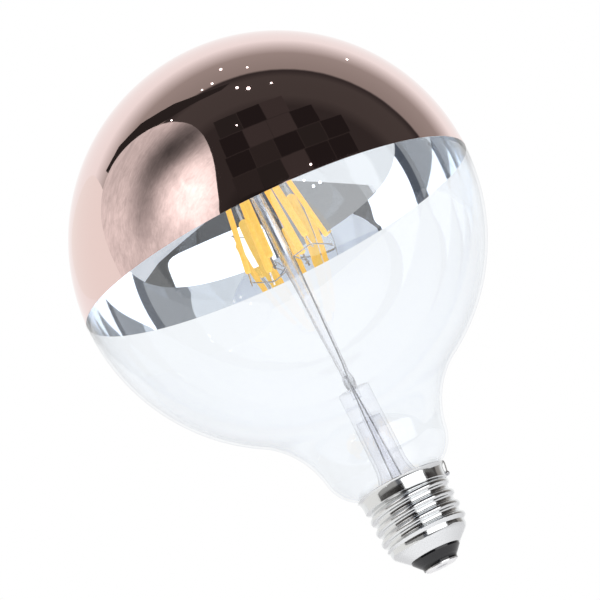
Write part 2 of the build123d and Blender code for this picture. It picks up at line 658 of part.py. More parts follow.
lower_pins = Part() + [pin(place, 0) for place in places]
upper_pins = Part() + [pin(place, FILAMENT_LENGTH) for place in places]
hookup = contact_lead()
over_rim = side_lead()

nodes = {
    "glass_globe": glass_globe(),
    "silver_mirror_film": mirror_layer(SILVER_BORE, SILVER_THICKNESS),
    "rose_gold_lacquer": mirror_layer(LACQUER_BORE, LACQUER_THICKNESS),
    "stem_flare": stem_flare([exhaust_tube(bored=False), rod, front_lead, rear_lead]),
    "exhaust_tube": exhaust_tube(),
    "stem_rod": rod,
    "front_lead_wire": front_lead,
    "rear_lead_wire": rear_lead,
    "front_contact_wire": front_wire,
    "rear_contact_wire": rear_wire,
    "top_ring_wire": top_ring,
    "ring_support_wires": supports,
    "lower_filament_pins": lower_pins - front_wire - rear_wire,
    "upper_filament_pins": upper_pins - top_ring,
    "cap_shell": cap_shell(),
    "cap_insulator": cap_insulator(),
    "centre_contact": centre_contact(),
    "contact_solder": contact_solder(hookup),
    "contact_lead_wire": hookup,
    "side_lead_wire": over_rim,
    "side_solder": side_solder(over_rim),
    "basing_cement": basing_cement(over_rim),
    "driver_board": driver_board(),
    "smoothing_capacitor": capacitor(),
    "bridge_rectifier": packaged_part(RECTIFIER_SIZE, RECTIFIER_PLACE, 1, 2),
    "driver_chip": packaged_part(CHIP_SIZE, CHIP_PLACE, -1, 4),
    "fusible_resistor": fusible_resistor(),
}
for number, place in enumerate(places, start=1):
    nodes[f"led_filament_{number}"] = filament(place)

os.makedirs("parts", exist_ok=True)
for name, shape in nodes.items():
    export_step(shape, f"parts/{name}.step")
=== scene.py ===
"""Looks of the led globe bulb: fine glass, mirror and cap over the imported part, its studio and camera."""
import math
import random

import bmesh
import bpy
from mathutils import Matrix, Vector
from mathutils.geometry import intersect_sphere_sphere_2d


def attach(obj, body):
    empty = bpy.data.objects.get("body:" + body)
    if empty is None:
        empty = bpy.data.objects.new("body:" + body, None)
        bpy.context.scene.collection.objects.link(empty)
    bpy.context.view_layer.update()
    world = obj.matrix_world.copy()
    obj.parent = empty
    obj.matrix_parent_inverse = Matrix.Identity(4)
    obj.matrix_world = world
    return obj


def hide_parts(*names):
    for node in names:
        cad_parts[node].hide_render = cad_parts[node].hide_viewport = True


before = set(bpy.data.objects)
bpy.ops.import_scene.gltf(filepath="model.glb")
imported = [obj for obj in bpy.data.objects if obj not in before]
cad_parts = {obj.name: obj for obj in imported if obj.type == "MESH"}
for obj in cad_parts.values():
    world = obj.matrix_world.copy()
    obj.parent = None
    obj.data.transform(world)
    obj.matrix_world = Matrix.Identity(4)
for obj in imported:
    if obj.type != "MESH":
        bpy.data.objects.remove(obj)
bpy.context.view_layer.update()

# Sizes of the bulb in millimetres and degrees, with heights over the centre contact
MM = 0.001
GLOBE_CENTRE = 109.5
OUTSIDE_RADIUS = 62.5
LACQUER_THICKNESS = 0.04
SILVER_THICKNESS = 0.02
COAT_GAP = 0.01
SILVER_RADIUS = OUTSIDE_RADIUS - LACQUER_THICKNESS - COAT_GAP
GLASS_RADIUS = SILVER_RADIUS - SILVER_THICKNESS - COAT_GAP
GLASS_WALL = 0.8
MIRROR_EDGE_ABOVE_CENTRE = 0.8
MIRROR_TILT_ANGLE = 0.8
NECK_HOLLOW_RADIUS = 28.6
NECK_SHOULDER_RADIUS = 11.6
NECK_SEAL_ANGLE = 75.0
NECK_SEAL_DEPTH = 0.3
NECK_END_RADIUS = 11.3
NECK_END_HEIGHT = 22.0

CAP_HEIGHT = 27.5
CAP_SHEET = 0.3
THREAD_MAJOR_RADIUS = 13.2
THREAD_CORE_RADIUS = 12.16
THREAD_PITCH = 3.629
THREAD_ARC_RADIUS = 1.025
THREAD_CREST_HEIGHT = 11.17
THREAD_FADE_HEIGHT = 9.7
THREAD_FADE_SINK = 0.05
COLLAR_FOOT_HEIGHT = 23.2
COLLAR_FOOT_RADIUS = 13.3
COLLAR_STEP = 0.8
COLLAR_FLARE_POWER = 5
CAP_RIM_RADIUS = 14.0
LIP_HEIGHT = CAP_HEIGHT - CAP_SHEET / 2
SHOULDER_RADIUS = 2.5
CONE_ANGLE = 48.0
MOUTH_RADIUS = 8.2
MOUTH_HEIGHT = 4.4

# How finely the meshes are drawn, in steps round the bulb and along each outline
TURN_STEPS = 256
CROWN_STEPS = 110
HOLLOW_STEPS = 30
NECK_STEPS = 24
COAT_STEPS = 90
CAP_TURN_STEPS = 240
OUTSIDE_ROWS_A_TURN = 44
INSIDE_ROWS_A_TURN = 12
CONE_ROWS = 8
SHOULDER_ROWS = 12
COLLAR_ROWS = 28
LIP_STEPS = 8
JOINING_DISTANCE = 1e-7

# Grain of each surface in millimetres, drawn coarser than the real one so that it shows
PEEL_WIDTH = 6.25
ROLLING_MARK_LENGTH = 16.67
ROLLING_MARK_WIDTH = 0.4
PHOSPHOR_GRAIN = 1.11
PLAIN_GRAIN = 2.5
ROUGHNESS_SPREAD = 0.06

# What glass mirrors: the share head-on, what its edges add, and how near the edge that sets in
GLASS_SHINE = 0.03
GLASS_EDGE_SHINE = 0.7
GLASS_EDGE_POWER = 5.0

# The photograph's view: metres from the globe's centre, how far the camera stands below it, and its roll
VIEW_DISTANCE = 1.5
VIEW_RISE = math.radians(12.4)
VIEW_ROLL = math.radians(26.7)
LENS = 302.3
SENSOR_WIDTH = 36.0
CAMERA_REACH = 100.0
PICTURE = 600.0
GLOBE_IN_PICTURE = (278.1, 240.3)

# Directions of the view before the roll, and the globe's centre in metres
ACROSS = Vector((1.0, 0.0, 0.0))
AHEAD = Vector((0.0, math.cos(VIEW_RISE), math.sin(VIEW_RISE)))
UPRIGHT = Vector((0.0, -math.sin(VIEW_RISE), math.cos(VIEW_RISE)))
MIDDLE = Vector((0.0, 0.0, GLOBE_CENTRE * MM))

# Distances in the studio, in metres
LAMP_DISTANCE = 3.6
SOFTBOX_DISTANCE = 4.0
SHADOW_DISTANCE = 4.1
TILE_DISTANCE = 4.2
PAPER_LEFT_DISTANCE = 4.2
PAPER_HIGH_DISTANCE = 4.3
WALL_LEFT_DISTANCE = 4.3
GAP_DISTANCE = 4.35
WALL_RIGHT_DISTANCE = 4.4
FLOOR_HALF_WIDTH = 30.0
FLOOR_HEIGHT = -3.0

# Corners of the studio's surfaces, in degrees right of and above the camera as the bulb sees it
SOFTBOX_LEFT = (
    (-24, 27), (-21, 27), (-9, 64), (-15, 88), (-42, 100),
    (-79, 92), (-97, 62), (-95, 22), (-92, 20), (-55, 23),
)
SHADOW_BAND = (
    (-78, 86), (-64, 94), (-47, 97), (-28, 96), (-10, 97), (10, 96.5),
    (17, 99), (0, 101), (-20, 105), (-45, 106), (-65, 101), (-80, 91),
)
WALL_LEFT = ((-64, 15), (-8, 15), (-8, -32), (-24, -32), (-62, -5))
WALL_RIGHT = ((4, 8), (106, 10), (98, -8), (70, -20), (4, -34))
DARK_GAP = ((-8.5, 14), (4.5, 14), (4.5, -30), (-8.5, -30))
PAPER_HIGH = ((-84, 18), (-84, 84), (-100, 106), (-145, 70), (-145, 18))
PAPER_LEFT = ((-125, 30), (-70, 26), (-64, -4), (-20, -28), (-20, -42), (-125, -42))
SOFTBOX_RIGHT_CENTRE = (36, 4)
SOFTBOX_RIGHT_REACH = (31, 22)
SOFTBOX_RIGHT_TILT = -4
OBLONG_SQUARENESS = 8
OBLONG_STEPS = 28
PANEL_EDGE_STEPS = 8
PANEL_RINGS = 10

# Small lamps: place and half width in degrees
LAMPS = (
    (16.3, 114, 1.0), (7, 105, 0.7), (-0.3, 104, 0.6), (19.2, 93, 0.9), (25, 89, 1.2), (38.7, 86.2, 0.7),
    (-25, 93.7, 0.6), (31.5, 106, 0.7), (8.3, 68.7, 0.5), (34.5, 29, 0.6), (96.7, 88.3, 0.9),
    (-36.4, -18.9, 0.8), (-32, -18.6, 0.8), (-28.7, -24, 0.6),
)
LAMP_STEPS = 10

# Ceiling tiles in degrees: the grid's first corner, its steps and one tile's edges
TILE_SHADES = ("#231F1F", "#2A2726", "#2F2B2A", "#3D3837")
TILE_ROWS = 4
TILE_COLUMNS = 6
TILES_START = Vector((-8.0, 29.0))
TILE_COLUMN_STEP = Vector((14.4, -0.8))
TILE_ROW_STEP = Vector((1.5, 12.2))
TILE_ACROSS = Vector((14.0, -0.8))
TILE_UP = Vector((0.5, 11.8))
TILES_EDGE = 86.0
TILE_RINGS = 2
TILE_SEED = 7

# Spots of the creased cloth: place, reach in degrees and how much light is left in their middle
CLOTH_SPOTS = (
    (-31, 43, 30, 1.9), (-15, 78, 20, 0.22), (-33, 74, 21, 0.15), (-48, 71, 17, 0.45),
    (-58, 57, 18, 0.5), (-66, 42, 16, 0.7), (-55, 92, 26, 0.8),
)
# Its folds and its creases: waves a metre along each axis, their detail, and the least and most light
CLOTH_WAVES = (((1.6, 1.6, 1.6), 3.0, 0.84, 1.12), ((1.5, 12.0, 5.0), 9.0, 0.86, 1.14))
CLOTH_TURN = (0.5, 0.4, 0.6)

# The rest of the surroundings, in degrees from the middle of the room behind the camera
ROOM_MIDDLE = (8.0, 0.0)
ROOM_SHADES = (
    (0.0, "#242120"), (30.0, "#242120"), (40.0, "#353130"), (74.0, "#353130"), (82.0, "#484442"),
    (97.0, "#4A4644"), (102.5, "#332F2F"), (104.0, "#97928E"), (120.0, "#A39E9A"), (138.0, "#FFFFFF"),
)


# Outlines and meshes

def polar(radius, azimuth, height):
    """A point of the bulb in metres, from millimetres and radians."""
    return Vector((radius * math.cos(azimuth), radius * math.sin(azimuth), height)) * MM


def arc(centre, radius, first, last, steps):
    """Points of an arc in an outline, from one angle to another in degrees."""
    angles = [math.radians(first + (last - first) * step / steps) for step in range(steps + 1)]
    return [(centre[0] + radius * math.cos(a), centre[1] + radius * math.sin(a)) for a in angles]


def between(first, last, share):
    """The point at a share of the way from one point of an outline to another."""
    return tuple(a + (b - a) * share for a, b in zip(first, last))


def piece(name, points, faces, material, nodes, slot, sharp=40.0):
    """A smooth mesh that rides on the bulb and stands for its CAD nodes."""
    mesh = bpy.data.meshes.new(name)
    mesh.from_pydata(points, [], faces)
    joined = bmesh.new()
    joined.from_mesh(mesh)
    bmesh.ops.remove_doubles(joined, verts=joined.verts, dist=JOINING_DISTANCE)
    bmesh.ops.recalc_face_normals(joined, faces=joined.faces)
    joined.to_mesh(mesh)
    joined.free()
    mesh.validate()
    mesh.shade_smooth()
    mesh.set_sharp_from_angle(angle=math.radians(sharp))
    mesh.materials.append(material)
    thing = bpy.data.objects.new(name, mesh)
    bpy.context.collection.objects.link(thing)
    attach(thing, "root")
    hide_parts(*nodes)


def turned(outline):
    """Points and faces of a closed outline turned once round the Z axis."""
    points = []
    rings = []
    for radius, height in outline:
        count = TURN_STEPS if radius else 1
        rings.append(range(len(points), len(points) + count))
        points += [polar(radius, 2 * math.pi * step / TURN_STEPS, height) for step in range(count)]
    faces = []
    for ring, following in zip(rings, rings[1:] + rings[:1]):
        for step in range(TURN_STEPS):
            corners = [ring[step % len(ring)], ring[(step + 1) % len(ring)]]
            corners += [following[(step + 1) % len(following)], following[step % len(following)]]
            corners = list(dict.fromkeys(corners))
            if len(corners) > 2:
                faces.append(corners)
    return points, faces


# Globe and mirror

def glass_outline(inset):
    """Points of one face of the globe's wall, from its crown to the end of its neck."""
    globe = Vector((0.0, GLOBE_CENTRE))
    sealed = Vector((NECK_END_RADIUS, CAP_HEIGHT - NECK_SEAL_DEPTH))
    rise = math.radians(180 - NECK_SEAL_ANGLE)
    shoulder = sealed + Vector((math.cos(rise), math.sin(rise))) * NECK_SHOULDER_RADIUS
    reach = NECK_HOLLOW_RADIUS + NECK_SHOULDER_RADIUS
    crossings = intersect_sphere_sphere_2d(globe, GLASS_RADIUS + NECK_HOLLOW_RADIUS, shoulder, reach)
    hollow = max(crossings, key=lambda point: point.x)
    leave = math.degrees(math.atan2(*(hollow - globe).yx))
    waist = math.degrees(math.atan2(*(shoulder - hollow).yx))
    neck = NECK_END_RADIUS - inset
    seal = -math.degrees(math.acos((neck - shoulder[0]) / (NECK_SHOULDER_RADIUS - inset)))
    points = arc(globe, GLASS_RADIUS - inset, 90, leave, CROWN_STEPS)
    points += arc(hollow, NECK_HOLLOW_RADIUS + inset, leave + 180, waist, HOLLOW_STEPS)[1:]
    points += arc(shoulder, NECK_SHOULDER_RADIUS - inset, waist - 180, seal, NECK_STEPS)[1:]
    points[0] = (0.0, points[0][1])
    return points + [(neck, NECK_END_HEIGHT)]


def mirror_cup(outer, thickness):
    """The thin cup of one mirror coat, whose edge runs a little askew to the cap."""
    inner = outer - thickness
    globe = (0.0, GLOBE_CENTRE)
    over = arc(globe, outer, math.degrees(math.asin(MIRROR_EDGE_ABOVE_CENTRE / outer)), 90, COAT_STEPS)
    under = arc(globe, inner, 90, math.degrees(math.asin(MIRROR_EDGE_ABOVE_CENTRE / inner)), COAT_STEPS)
    over[-1] = (0.0, over[-1][1])
    under[0] = (0.0, under[0][1])
    points, faces = turned(over + under)
    tilt = Matrix.Rotation(math.radians(MIRROR_TILT_ANGLE), 3, "Y")
    return [MIDDLE + tilt @ (point - MIDDLE) for point in points], faces


# Cap

def thread_radius(height, azimuth, inset):
    """How far the rolled knuckle thread stands out, before it fades into the plain cap."""
    turn = math.asin(THREAD_PITCH / 4 / THREAD_ARC_RADIUS)
    crest_centre = THREAD_MAJOR_RADIUS - THREAD_ARC_RADIUS
    trough_centre = crest_centre + 2 * THREAD_ARC_RADIUS * math.cos(turn)
    along = (height - THREAD_CREST_HEIGHT - THREAD_PITCH * azimuth / (2 * math.pi)) / THREAD_PITCH
    offset = abs(along - round(along)) * THREAD_PITCH
    if offset < (THREAD_ARC_RADIUS - inset) * math.sin(turn):
        return crest_centre + math.sqrt((THREAD_ARC_RADIUS - inset) ** 2 - offset**2)
    rise = (THREAD_ARC_RADIUS + inset) ** 2 - (THREAD_PITCH / 2 - offset) ** 2
    return trough_centre - math.sqrt(max(rise, 0.0))


def plain_cap(inset):
    """Outline of the cap below its thread: the cone from the mouth and the round shoulder over it."""
    slope = math.radians(CONE_ANGLE)
    core = THREAD_CORE_RADIUS - inset
    mouth = (MOUTH_RADIUS - inset / math.cos(slope), MOUTH_HEIGHT)
    corner = MOUTH_HEIGHT + (core - mouth[0]) / math.tan(slope)
    fillet = SHOULDER_RADIUS - inset
    centre = (core - fillet, corner + fillet * math.tan(slope / 2))
    shoulder = arc(centre, fillet, -CONE_ANGLE, 0, SHOULDER_ROWS)
    return [between(mouth, shoulder[0], row / CONE_ROWS) for row in range(CONE_ROWS)] + shoulder


def cap_radius(height, azimuth, inset):
    """Radius of the cap over its shoulder: plain wall, thread or flared collar, whichever stands out most."""
    core = THREAD_CORE_RADIUS - inset
    foot = COLLAR_FOOT_RADIUS - inset
    if height >= COLLAR_FOOT_HEIGHT:
        share = (height - COLLAR_FOOT_HEIGHT) / (LIP_HEIGHT - COLLAR_FOOT_HEIGHT)
        return foot + (CAP_RIM_RADIUS - COLLAR_FOOT_RADIUS) * share**COLLAR_FLARE_POWER
    fade = core - THREAD_FADE_SINK + height - (THREAD_FADE_HEIGHT + inset / 2)
    step = foot + (core - foot) * (COLLAR_FOOT_HEIGHT - height) / COLLAR_STEP
    return max(core, step, min(thread_radius(height, azimuth, inset), fade))


def cap_face(inset, rows_a_turn, lip=()):
    """One face of the cap, in columns of points from the mouth to the rim and over its lip.

    The rows between the shoulder and the collar climb with the thread, so those of the last column join
    the first column a whole turn of rows further on.
    """
    base = plain_cap(inset)
    low = base[-1][1]
    spacing = THREAD_PITCH / rows_a_turn
    climbing = range(-rows_a_turn, math.ceil((COLLAR_FOOT_HEIGHT - low) / spacing) + 1)
    collar = LIP_HEIGHT - COLLAR_FOOT_HEIGHT
    collar_heights = [COLLAR_FOOT_HEIGHT + collar * row / COLLAR_ROWS for row in range(1, COLLAR_ROWS + 1)]
    points = []
    for step in range(CAP_TURN_STEPS):
        azimuth = 2 * math.pi * step / CAP_TURN_STEPS
        climb = THREAD_PITCH * step / CAP_TURN_STEPS
        heights = [min(max(low + spacing * row + climb, low), COLLAR_FOOT_HEIGHT) for row in climbing]
        points += [polar(radius, azimuth, height) for radius, height in base]
        for height in heights + collar_heights:
            points.append(polar(cap_radius(height, azimuth, inset), azimuth, height))
        points += [polar(radius, azimuth, height) for radius, height in lip]
    column = len(points) // CAP_TURN_STEPS
    first = len(base)
    last = first + len(climbing) - 1
    faces = []
    for step in range(CAP_TURN_STEPS):
        start = column * step
        after = column * ((step + 1) % CAP_TURN_STEPS)
        at_seam = step == CAP_TURN_STEPS - 1
        for row in range(column - 1):
            ends = (row, row + 1)
            if at_seam and first <= row < last:
                ends = [min(end + rows_a_turn, last) for end in ends]
            faces.append((start + row, after + ends[0], after + ends[1], start + row + 1))
    return points, faces, column


def cap_shell():
    """The rolled sheet cap with its thread, both faces, joined at the rim and at the mouth."""
    lip_centre = (CAP_RIM_RADIUS - CAP_SHEET / 2, LIP_HEIGHT)
    lip = arc(lip_centre, CAP_SHEET / 2, 0, 180, LIP_STEPS)[1:-1]
    points, faces, column = cap_face(0.0, OUTSIDE_ROWS_A_TURN, lip)
    inside, inner_faces, inner_column = cap_face(CAP_SHEET, INSIDE_ROWS_A_TURN)
    start = len(points)
    points += inside
    faces += [tuple(start + corner for corner in reversed(face)) for face in inner_faces]
    for step in range(CAP_TURN_STEPS):
        after = (step + 1) % CAP_TURN_STEPS
        rim = (column * (step + 1) - 1, column * (after + 1) - 1)
        inner_rim = (start + inner_column * (after + 1) - 1, start + inner_column * (step + 1) - 1)
        mouth = (column * after, column * step)
        inner_mouth = (start + inner_column * step, start + inner_column * after)
        faces += [rim + inner_rim, mouth + inner_mouth]
    piece("cap_shell_rolled", points, faces, nickel_plate(), ["cap_shell"], "nickel_plate", sharp=60.0)


# Materials

def linear(colour):
    """An sRGB hex colour as linear red, green, blue and alpha."""
    parts = [int(colour[k : k + 2], 16) / 255 for k in (1, 3, 5)]
    return tuple(c / 12.92 if c <= 0.04045 else ((c + 0.055) / 1.055) ** 2.4 for c in parts) + (1.0,)


def per_metre(grain):
    """The scale of a pattern, from the width of its grain in millimetres."""
    return 1 / (grain * MM)


def node(tree, kind, inputs=None, **settings):
    """Adds a node, sets its settings and fills or links its inputs."""
    made = tree.nodes.new(kind)
    for name, value in settings.items():
        setattr(made, name, value)
    for key, value in (inputs or {}).items():
        if isinstance(value, bpy.types.NodeSocket):
            tree.links.new(value, made.inputs[key])
        else:
            made.inputs[key].default_value = value
    return made


def new_material(name):
    """An empty material and its tree, ready for nodes."""
    material = bpy.data.materials.new(name)
    material.use_nodes = True
    material.node_tree.nodes.clear()
    return material, material.node_tree


def surfaced(material, shader):
    """The material with this shader on its surface."""
    node(material.node_tree, "ShaderNodeOutputMaterial", {"Surface": shader.outputs[0]})
    return material


def clear_glass(name, tint, painted_edge_shade, sharpness):
    """Blown or drawn glass: it shows what is behind it and reflects more towards its edges, where painted
    shade also greys its see-through colour.
    """
    material, tree = new_material(name)
    facing = node(tree, "ShaderNodeLayerWeight", {"Blend": 0.5}).outputs["Facing"]
    edge = node(tree, "ShaderNodeMath", {0: facing, 1: GLASS_EDGE_POWER}, operation="POWER").outputs[0]
    share = node(
        tree, "ShaderNodeMath", {0: edge, 1: GLASS_EDGE_SHINE, 2: GLASS_SHINE}, operation="MULTIPLY_ADD"
    ).outputs[0]
    # Painted shade: towards the edges the see-through colour turns to the grey edge colour, standing in for
    # the darker look of light bent through the wall
    rim = node(tree, "ShaderNodeMath", {0: facing, 1: sharpness}, operation="POWER").outputs[0]
    colour = node(
        tree, "ShaderNodeMix", {"Factor": rim, "A": linear(tint), "B": linear(painted_edge_shade)}, data_type="RGBA"
    ).outputs["Result"]
    through = node(tree, "ShaderNodeBsdfTransparent", {"Color": colour}).outputs[0]
    white = linear("#FFFFFF")
    shine = node(tree, "ShaderNodeBsdfAnisotropic", {"Color": white, "Roughness": 0.01}).outputs[0]
    return surfaced(material, node(tree, "ShaderNodeMixShader", {0: share, 1: through, 2: shine}))


def rod_glass():
    """Solid drawn rod: half of the light bends in it, half shows plainly what is behind it."""
    material, tree = new_material("rod_glass")
    tint = linear("#FDFDFE")
    bent = node(tree, "ShaderNodeBsdfGlass", {"Color": tint, "Roughness": 0.0, "IOR": 1.5}).outputs[0]
    straight = node(tree, "ShaderNodeBsdfTransparent", {"Color": tint}).outputs[0]
    return surfaced(material, node(tree, "ShaderNodeMixShader", {0: 0.5, 1: straight, 2: bent}))


def rose_gold_lacquer():
    """Tinted lacquer sprayed over the silver: a rose gold mirror with a faint orange-peel."""
    material, tree = new_material("rose_gold_lacquer")
    place = node(tree, "ShaderNodeTexCoord").outputs["Object"]
    scale = per_metre(PEEL_WIDTH)
    peel = node(tree, "ShaderNodeTexNoise", {"Vector": place, "Scale": scale, "Detail": 2.0}).outputs["Fac"]
    bump = node(tree, "ShaderNodeBump", {"Height": peel, "Strength": 0.02, "Distance": 0.5 * MM}).outputs[0]
    shader = node(tree, "ShaderNodeBsdfPrincipled", {
        "Base Color": linear("#EBD2CE"),
        "Metallic": 1.0,
        "Roughness": 0.025,
        "Normal": bump,
    })
    return surfaced(material, shader)


def silver_film():
    """Silver deposited on the glass: a true mirror, seen from the inside."""
    material, tree = new_material("silver_film")
    shader = node(tree, "ShaderNodeBsdfPrincipled", {
        "Base Color": linear("#F6F6F7"),
        "Metallic": 1.0,
        "Roughness": 0.01,
    })
    return surfaced(material, shader)


def nickel_plate():
    """Bright nickel on rolled brass sheet, with fine marks of the rolling round the cap."""
    material, tree = new_material("nickel_plate")
    place = node(tree, "ShaderNodeTexCoord").outputs["Object"]
    along = per_metre(ROLLING_MARK_LENGTH)
    scale = (along, along, per_metre(ROLLING_MARK_WIDTH))
    spread = node(tree, "ShaderNodeMapping", {"Vector": place, "Scale": scale}).outputs[0]
    marks = node(tree, "ShaderNodeTexNoise", {"Vector": spread, "Scale": 1.0, "Detail": 3.0}).outputs["Fac"]
    rough = node(tree, "ShaderNodeMapRange", {"Value": marks, "To Min": 0.1, "To Max": 0.16}).outputs[0]
    bump = node(tree, "ShaderNodeBump", {"Height": marks, "Strength": 0.04, "Distance": 0.1 * MM}).outputs[0]
    shader = node(tree, "ShaderNodeBsdfPrincipled", {
        "Base Color": linear("#DFE1E2"),
        "Metallic": 1.0,
        "Roughness": rough,
        "Normal": bump,
    })
    return surfaced(material, shader)


def phosphor_silicone():
    """Silicone loaded with yellow phosphor: matt, with a faint painted glow standing in for the light that it
    lets through.
    """
    material, tree = new_material("phosphor_silicone")
    place = node(tree, "ShaderNodeTexCoord").outputs["Object"]
    scale = per_metre(PHOSPHOR_GRAIN)
    grain = node(tree, "ShaderNodeTexNoise", {"Vector": place, "Scale": scale, "Detail": 2.0}).outputs["Fac"]
    dark, pale = linear("#FFC550"), linear("#FFD474")
    colour = node(
        tree, "ShaderNodeMix", {"Factor": grain, "A": dark, "B": pale}, data_type="RGBA"
    ).outputs["Result"]
    # Painted glow: the silicone gives out light of its own, standing in for the light that passes through it
    shader = node(tree, "ShaderNodeBsdfPrincipled", {
        "Base Color": colour,
        "Roughness": 0.45,
        "Emission Color": colour,
        "Emission Strength": 0.5,
    })
    return surfaced(material, shader)


def plain(name, colour, roughness, metallic=0.0):
    """A small part's material, with the slight unevenness of its surface."""
    material, tree = new_material(name)
    place = node(tree, "ShaderNodeTexCoord").outputs["Object"]
    scale = per_metre(PLAIN_GRAIN)
    uneven = node(tree, "ShaderNodeTexNoise", {"Vector": place, "Scale": scale, "Detail": 3.0}).outputs["Fac"]
    rough = node(tree, "ShaderNodeMapRange", {
        "Value": uneven,
        "To Min": roughness - ROUGHNESS_SPREAD,
        "To Max": roughness + ROUGHNESS_SPREAD,
    }).outputs[0]
    bump = node(tree, "ShaderNodeBump", {"Height": uneven, "Strength": 0.15, "Distance": 0.1 * MM}).outputs[0]
    shader = node(tree, "ShaderNodeBsdfPrincipled", {
        "Base Color": linear(colour),
        "Metallic": metallic,
        "Roughness": rough,
        "Normal": bump,
    })
    return surfaced(material, shader)


# Bulb

def glass_and_mirror():
    """The blown globe and the two coats over its upper half."""
    wall = glass_outline(0.0) + glass_outline(GLASS_WALL)[::-1]
    # Blown soda-lime glass, almost unseen but for the pale grey line of painted shade along its edge
    glass = clear_glass("soda_lime_glass", "#FDFEFF", "#D9DDE2", sharpness=14.0)
    piece("glass_globe_blown", *turned(wall), glass, ["glass_globe"], "clear_glass")
    silver = mirror_cup(SILVER_RADIUS, SILVER_THICKNESS)
    piece("silver_mirror_coat", *silver, silver_film(), ["silver_mirror_film"], "silver_film")
    lacquer = mirror_cup(OUTSIDE_RADIUS, LACQUER_THICKNESS)
    piece("rose_gold_coat", *lacquer, rose_gold_lacquer(), ["rose_gold_lacquer"], "rose_gold")


def dress(material, *names):
    """Gives CAD nodes that stay their real material."""
    for name in names:
        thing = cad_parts[name]
        thing.data.materials.clear()
        thing.data.materials.append(material)


def dress_cage():
    """The materials of what stands inside the globe."""
    # Drawn tube, with thicker walls than the globe, so its painted edge shade is grey over a wider edge
    dress(clear_glass("stem_glass", "#FDFDFE", "#C4C7CC", sharpness=5.0), "stem_flare", "exhaust_tube")
    dress(rod_glass(), "stem_rod")
    # Drawn nickel wire, a soft grey shine
    wire = plain("nickel_wire", "#BCBDC0", roughness=0.25, metallic=1.0)
    dress(wire, "front_lead_wire", "rear_lead_wire", "front_contact_wire", "rear_contact_wire")
    dress(wire, "top_ring_wire", "ring_support_wires")
    # Stamped steel strip with a thin plating, a little warmer than the wires
    pins = plain("plated_pin_steel", "#D9D5D0", roughness=0.25, metallic=1.0)
    dress(pins, "lower_filament_pins", "upper_filament_pins")
    dress(phosphor_silicone(), *(f"led_filament_{number}" for number in range(1, 7)))


def dress_cap_and_driver():
    """The materials of what sits in and under the cap."""
    # Black glass, poured hot between cap and contact: deep black with a hard gloss
    dress(plain("poured_black_glass", "#16171A", roughness=0.12), "cap_insulator")
    # Stamped brass with a bright plating, nearly white
    dress(plain("plated_contact_brass", "#F4F4F5", roughness=0.3, metallic=1.0), "centre_contact")
    # Tin that set in a drop, silky and slightly dull
    solder = plain("tin_solder", "#BFC0C4", roughness=0.35, metallic=1.0)
    dress(solder, "contact_solder", "side_solder")
    # Tinned copper wire, greyed by handling
    hookup_wire = plain("tinned_copper", "#9C9A98", roughness=0.3, metallic=1.0)
    dress(hookup_wire, "contact_lead_wire", "side_lead_wire")
    # Basing cement, baked resin and chalk: matt and buff
    dress(plain("basing_cement", "#CBBFA8", roughness=0.9), "basing_cement")
    # White glass-fibre laminate, half matt
    dress(plain("board_laminate", "#E3E5DC", roughness=0.5), "driver_board")
    # Shrunk plastic sleeve, dark and half gloss
    dress(plain("capacitor_sleeve", "#1D1F26", roughness=0.35), "smoothing_capacitor")
    # Moulded epoxy, black and matt
    dress(plain("black_epoxy", "#1A1A1A", roughness=0.6), "bridge_rectifier", "driver_chip")
    # Dipped green lacquer, glossy
    dress(plain("resistor_lacquer", "#5F8A66", roughness=0.3), "fusible_resistor")


# Studio

def glow(name, colour, strength=1.0):
    """A lit studio surface."""
    material, tree = new_material(name)
    light = node(tree, "ShaderNodeEmission", {"Color": linear(colour), "Strength": strength})
    return surfaced(material, light)


def studio_direction(right, up):
    """The direction so many degrees right of and above the camera, as the bulb sees it."""
    angle = math.radians(math.hypot(right, up))
    side = Vector((right, up)).normalized()
    return -AHEAD * math.cos(angle) + (ACROSS * side.x + UPRIGHT * side.y) * math.sin(angle)


def stage_mesh(name, points, faces, material):
    """A mesh of the studio, seen only in reflections."""
    mesh = bpy.data.meshes.new(name)
    mesh.from_pydata(points, [], faces)
    mesh.materials.append(material)
    thing = bpy.data.objects.new(name, mesh)
    bpy.context.collection.objects.link(thing)
    thing.visible_camera = False


def panel(name, corners, material, distance, rings=PANEL_RINGS):
    """A curved surface of the studio round the bulb, drawn in rings from its middle to its corners."""
    centre = [sum(values) / len(corners) for values in zip(*corners)]
    edge = []
    for corner, following in zip(corners, corners[1:] + corners[:1]):
        edge += [between(corner, following, step / PANEL_EDGE_STEPS) for step in range(PANEL_EDGE_STEPS)]
    points = [MIDDLE + studio_direction(*centre) * distance]
    faces = []
    for ring in range(1, rings + 1):
        start = len(points)
        before = start - len(edge)
        for corner in edge:
            points.append(MIDDLE + studio_direction(*between(centre, corner, ring / rings)) * distance)
        for k in range(len(edge)):
            after = (k + 1) % len(edge)
            inner = (0,) if ring == 1 else (before + after, before + k)
            faces.append((start + k, start + after) + inner)
    stage_mesh(name, points, faces, material)


def oblong(centre, reach, tilt):
    """Corners of a soft-cornered oblong, tilted by some degrees."""
    corners = []
    turn = math.radians(tilt)
    for step in range(OBLONG_STEPS):
        angle = 2 * math.pi * step / OBLONG_STEPS
        c, s = math.cos(angle), math.sin(angle)
        x = reach[0] * math.copysign(abs(c) ** (2 / OBLONG_SQUARENESS), c)
        y = reach[1] * math.copysign(abs(s) ** (2 / OBLONG_SQUARENESS), s)
        right = centre[0] + x * math.cos(turn) - y * math.sin(turn)
        up = centre[1] + x * math.sin(turn) + y * math.cos(turn)
        corners.append((right, up))
    return corners


def rounded(corners, times=3):
    """The same outline with its corners cut to a smooth curve."""
    for _ in range(times):
        cut = []
        for corner, following in zip(corners, corners[1:] + corners[:1]):
            cut += [between(corner, following, 0.25), between(corner, following, 0.75)]
        corners = cut
    return corners


